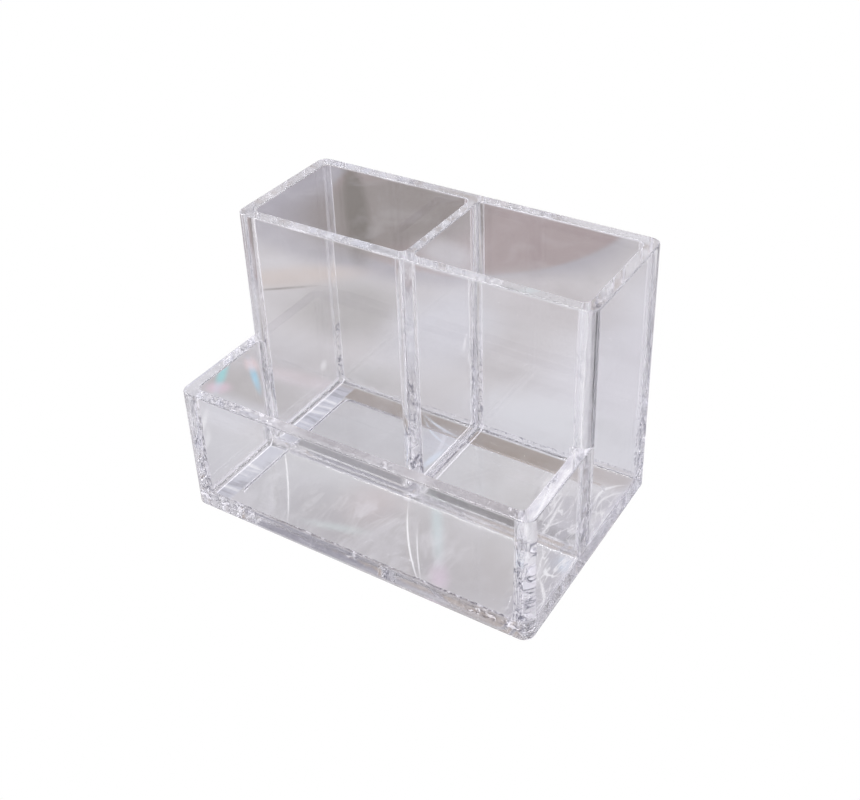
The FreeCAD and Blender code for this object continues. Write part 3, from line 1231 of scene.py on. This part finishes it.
@dataclass
class Studio:
    """White ground, tone cards that only the plastic shows, soft lamps and the camera, in millimetres."""

    azimuth: float = 32.97
    elevation: float = 31.22
    roll: float = -2.12
    distance: float = 290.35
    target: tuple[float, float, float] = (31.42, -40.0, 103.06)
    lens: float = 50.41
    sensor: float = 36.0
    shift: tuple[float, float] = (0.0015, -0.1197)
    floor_half: float = 4000.0
    floor_level: float = -0.06
    card_half: float = 2500.0
    card_level: float = -0.03
    dome_radius: float = 900.0
    dome_rise: float = 72.0
    dome_turns: int = 64
    lamp_aim: tuple[float, float, float] = (0.0, 0.0, 40.0)

    def camera(self) -> None:
        """Places the camera: it looks back along the direction given by its azimuth and elevation."""
        a, e, r = (math.radians(v) for v in (self.azimuth, self.elevation, self.roll))
        back = Vector((math.sin(a) * math.cos(e), -math.cos(a) * math.cos(e), math.sin(e)))
        right = Vector((math.cos(a), math.sin(a), 0))
        up = back.cross(right)
        across, over = math.cos(r) * right + math.sin(r) * up, -math.sin(r) * right + math.cos(r) * up
        spot = (Vector(self.target) + back * self.distance) * MM
        data = bpy.data.cameras.new("camera")
        data.lens, data.sensor_width = self.lens, self.sensor
        data.shift_x, data.shift_y = self.shift
        data.clip_start, data.clip_end = 0.01, 20.0
        camera = bpy.data.objects.new("camera", data)
        camera.matrix_world = Matrix((
            (across.x, over.x, back.x, spot.x), (across.y, over.y, back.y, spot.y),
            (across.z, over.z, back.z, spot.z), (0, 0, 0, 1)))
        bpy.context.scene.collection.objects.link(camera)
        bpy.context.scene.camera = camera

    @staticmethod
    def _stage(name: str, paint: str, points: np.ndarray, faces: Sequence[Sequence[int]],
               card: bool) -> Bench:
        """Makes a stage object.

        Args:
            name: its name.
            paint: its material's name.
            points: its corners in millimetres.
            faces: its faces.
            card: whether only reflections and rays through the plastic show it.

        Returns:
            The empty node tree of its material.
        """
        mesh = bpy.data.meshes.new(name)
        mesh.from_pydata((points * MM).tolist(), [], faces)
        made = bpy.data.objects.new(name, mesh)
        bpy.context.scene.collection.objects.link(made)
        if card:
            made.visible_camera = made.visible_diffuse = made.visible_shadow = False
        material, b = painted(paint)
        mesh.materials.append(material)
        return b

    def _sheet(self, name: str, paint: str, half: float, level: float, card: bool) -> Bench:
        """A level square that faces up, made as a stage object; half is half its side."""
        ring = np.array([(-1, -1, 0), (1, -1, 0), (1, 1, 0), (-1, 1, 0)]) * (half, half, 0) + (0, 0, level)
        return self._stage(name, paint, ring, [(0, 1, 2, 3)], card)

    @staticmethod
    def _looked(b: Bench) -> Signal:
        """1 for rays that look, directly, in a reflection or through the plastic; 0 for light.

        Args:
            b: the node tree.

        Returns:
            The mask.
        """
        camera, glossy, through = (b.add("ShaderNodeLightPath", out=f"Is {name} Ray")
                                   for name in ("Camera", "Glossy", "Transmission"))
        return (camera + glossy + through).least(1.0)

    def ground(self) -> None:
        """The pale floor: plain white where it is looked at, and matt to light."""
        b = self._sheet("floor", "white floor", self.floor_half, self.floor_level, card=False)
        b.finish(b.blend(self._looked(b), b.diffuse((0.86, 0.86, 0.87)), b.glow((1, 1, 1, 1))))

    @staticmethod
    def _threads(b: Bench, x: Signal, y: Signal, below: Signal) -> Signal:
        """Light gathered in threads on the floor: strong under the right end, faint under the tray.

        A thread lies where a stretched, bent noise crosses its middle; clouds are a broader noise.
        Stripes cross the joint between the base and the left side sheet.

        Args:
            b: the card's node tree.
            x: place along X in millimetres.
            y: place along Y in millimetres.
            below: the colour so far.

        Returns:
            The colour with the threads.
        """
        right = (x + y * 0.33).ramp(36, 42) * x.ramp(62, 58) * y.ramp(-40, -34) * y.ramp(34, 18)
        tray = x.ramp(-56, -50) * x.ramp(34, 20) * y.ramp(-8, -14) * 0.16
        drawn = b.noise(b.place((1.5, 0.35, 1)), 120.0, 1.0, 0.5, 1.6)
        crossed = b.noise(b.place((1.1, 0.5, 1), shift=(0.3, 0.1, 0)), 160.0, 2.0, 0.5, 1.0)
        cloud = b.noise(b.place((1, 0.7, 1), shift=(0.1, 0.4, 0)), 70.0, 3.0, 0.6, 1.0)
        thread = abs(drawn - 0.5).ramp(0.030, 0.004).most(abs(crossed - 0.52).ramp(0.016, 0.002) * 0.8)
        plain = b.noise(b.place((1, 1, 1), shift=(0.7, 0.2, 0)), 45.0, 4.0, 0.6, 0.5)
        edge = x.ramp(-56.4, -56.0) * x.ramp(-49.6, -50.0) * y.ramp(38, 34)
        stripe = b.noise(b.place((0.12, 1, 1), shift=(0, 0.5, 0)), 330.0, 2.0, 0.6, 0.6)
        for share, tone in ((plain.ramp(0.50, 0.66) * 0.10, (226, 224, 232)),
                            (plain.ramp(0.50, 0.34) * 0.10, (140, 134, 134)),
                            (stripe.ramp(0.46, 0.36) * edge * 0.6, (150, 148, 158)),
                            (stripe.ramp(0.54, 0.64) * edge * 0.7, WHITE),
                            (cloud.ramp(0.58, 0.40) * (right * 0.75 + tray), (172, 169, 180)),
                            (cloud.ramp(0.50, 0.66) * (right * 0.6 + tray * 2.0), (232, 230, 238)),
                            (thread * (right * 0.85 + tray * 0.8), WHITE)):
            below = b.mix(share, below, rgb(*tone))
        return below

    def floor_card(self) -> None:
        """The tone card on the floor: white before and beside the holder, patched elsewhere."""
        b = self._sheet("floor_card", "floor card", self.card_half, self.card_level, card=True)
        x, y, _ = b.millimetres()
        near = b.mix(x.ramp(-10, 20), rgb(199, 195, 199), rgb(216, 214, 222))
        tone = b.mix(y.ramp(130, 260), near, rgb(178, 174, 176))
        # the card's tones, with painted contact shadows under the foot bands and painted caustic spots
        for row in TONES:
            tone = ToneSpot(*row).lay(b, x, y, tone)
        tone = self._threads(b, x, y, tone)
        for row in GLINTS:
            tone = ToneSpot(*row).lay(b, x, y, tone)
        white = b.mix(x.ramp(60, 90) * y.ramp(-10, 30), rgb(255, 254, 255), rgb(206, 204, 211))
        b.finish(b.glow(b.mix(y.ramp(-44, -70).most(x.ramp(66, 110)), tone, white)))

    def dome_card(self) -> None:
        """A tone card over and round the holder: dusky behind it, paler before it and overhead.

        Its points are radius times (cosine of rise times sine of turn, cosine of rise times cosine
        of turn, sine of rise), over even turns and from just under the ground to the top of the card.
        """
        turn = np.linspace(0, 2 * math.pi, self.dome_turns + 1)[:-1]
        t, r = np.meshgrid(turn, np.radians(np.linspace(-1, self.dome_rise, 14)), indexing="ij")
        points = self.dome_radius * grid(np.cos(r) * np.sin(t), np.cos(r) * np.cos(t), np.sin(r))
        index = np.arange(t.size).reshape(t.shape)
        after = np.roll(index, -1, 0)
        faces = np.stack([index[:, :-1], after[:, :-1], after[:, 1:], index[:, 1:]], -1).reshape(-1, 4)
        b = self._stage("dome_card", "dome card", points.reshape(-1, 3), faces.tolist(), card=True)
        x, y, z = b.split(b.place((1 / MM / self.dome_radius,) * 3))
        left = b.mix(z.ramp(0.66, 0.74), rgb(138, 136, 149), rgb(200, 198, 204))
        behind = b.mix((x / y.most(0.05)).ramp(-0.60, -0.46), left, rgb(174, 161, 153))
        behind = b.mix(x.ramp(-0.05, 0.12), behind, rgb(206, 204, 211))
        front = b.mix(x.ramp(-0.1, 0.2), rgb(216, 215, 225), rgb(238, 236, 242))
        low = b.mix(y.ramp(0.25, -0.30), behind, front)
        b.finish(b.glow(b.mix(z.ramp(0.90, 0.98), low, rgb(226, 224, 230))))

    def surroundings(self) -> None:
        """The room: plain white where it is looked at, a softly shaded pale grey to light."""
        world = bpy.data.worlds.new("room")
        world.use_nodes = True
        bpy.context.scene.world = world
        b = Bench(world.node_tree)
        _, _, rise = b.split(b.add("ShaderNodeTexCoord", out="Generated"))
        room = b.mix(rise.ramp(-0.05, 0.75), rgb(150, 148, 152), rgb(236, 236, 242))
        kind = "ShaderNodeBackground"
        b.finish(b.blend(self._looked(b), b.glow(room, kind), b.glow((1, 1, 1, 1), kind)))

    def lamp(self, name: str, spot: Sequence[float], size: Sequence[float], power: float) -> None:
        """Hangs a soft rectangular lamp that faces the holder.

        Args:
            name: its name.
            spot: its place.
            size: its width and height.
            power: its power in watts.
        """
        data = bpy.data.lights.new(name, "AREA")
        data.shape, data.size, data.size_y, data.energy = "RECTANGLE", size[0] * MM, size[1] * MM, power
        lamp = bpy.data.objects.new(name, data)
        lamp.visible_transmission = False
        lamp.location = Vector(spot) * MM
        lamp.rotation_euler = (Vector(self.lamp_aim) * MM - lamp.location).to_track_quat("-Z", "Y").to_euler()
        bpy.context.scene.collection.objects.link(lamp)

    def build(self) -> None:
        """Sets everything up."""
        scene = bpy.context.scene
        scene.view_settings.view_transform = "Standard"
        scene.cycles.max_bounces = 40
        scene.cycles.transmission_bounces = 40
        scene.cycles.glossy_bounces = 24
        scene.cycles.transparent_max_bounces = 64
        self.camera()
        self.ground()
        self.floor_card()
        self.dome_card()
        self.surroundings()
        self.lamp("overhead", (-150, 60, 620), (420, 300), 3.0)
        self.lamp("window", (-560, -260, 330), (300, 420), 3.0)


# --------------------------------------------------------------------------- assembly


@dataclass
class BrushHolder:
    """The whole holder: ten bonded pieces that stand for the solid part's nodes."""

    body: Body

    def parts(self) -> dict[str, tuple[Skin, str]]:
        """Every piece's skin and the record slot of its finish.

        Returns:
            Both, for each node's name.
        """
        s, b = self.body.sizes, self.body
        inner, half = (-s.inner_right, s.inner_right), (-s.half_divider, s.half_divider)
        right = StairSheet(b).skin()
        sheets = {
            "base_plate": BasePlate(b).skin(),
            "left_side_panel": right.mirrored(),
            "right_side_panel": right,
            "tray_front_panel": StraightSheet(b, inner, (-s.back, s.tray_inner), low=True).skin(),
            "cup_front_panel": StraightSheet(b, inner, (s.cup_face, s.cup_inner)).skin(),
            "back_panel": StraightSheet(b, inner, (s.back_inner, s.back)).skin(),
            "cup_divider": StraightSheet(b, half, (s.cup_inner, s.back_inner)).skin(),
        }
        beads = {
            "left_cup_cement_fillet": CementBead(b, b.left_cup, seed=0.4).skin(),
            "right_cup_cement_fillet": CementBead(b, b.right_cup, seed=1.9).skin(),
            "tray_cement_fillet": CementBead(b, b.tray, low=True, seed=3.1).skin(),
        }
        return {**{n: (k, "clear_sheet") for n, k in sheets.items()},
                **{n: (k, "clear_cement") for n, k in beads.items()}}

    def build(self) -> None:
        """Makes and dresses each piece and lets it stand for its node."""
        paints = {face: finish.material() for face, finish in FINISHES.items()}
        for node, (skin, slot) in self.parts().items():
            piece, faces = skin.mesh(f"{node}_clear")
            for face in faces:
                piece.data.materials.append(paints[face])
            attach(piece, "root")
            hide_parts(node)
            LOG.info("%s: %d faces, finishes %s", piece.name, len(piece.data.polygons),
                     ", ".join(f.value for f in faces))


def main() -> None:
    """Loads the fixed frame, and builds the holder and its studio."""
    logging.basicConfig(level=logging.INFO, format="%(name)s: %(message)s")
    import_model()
    BrushHolder(Body(Sizes())).build()
    Studio().build()


if __name__ == "__main__":
    main()
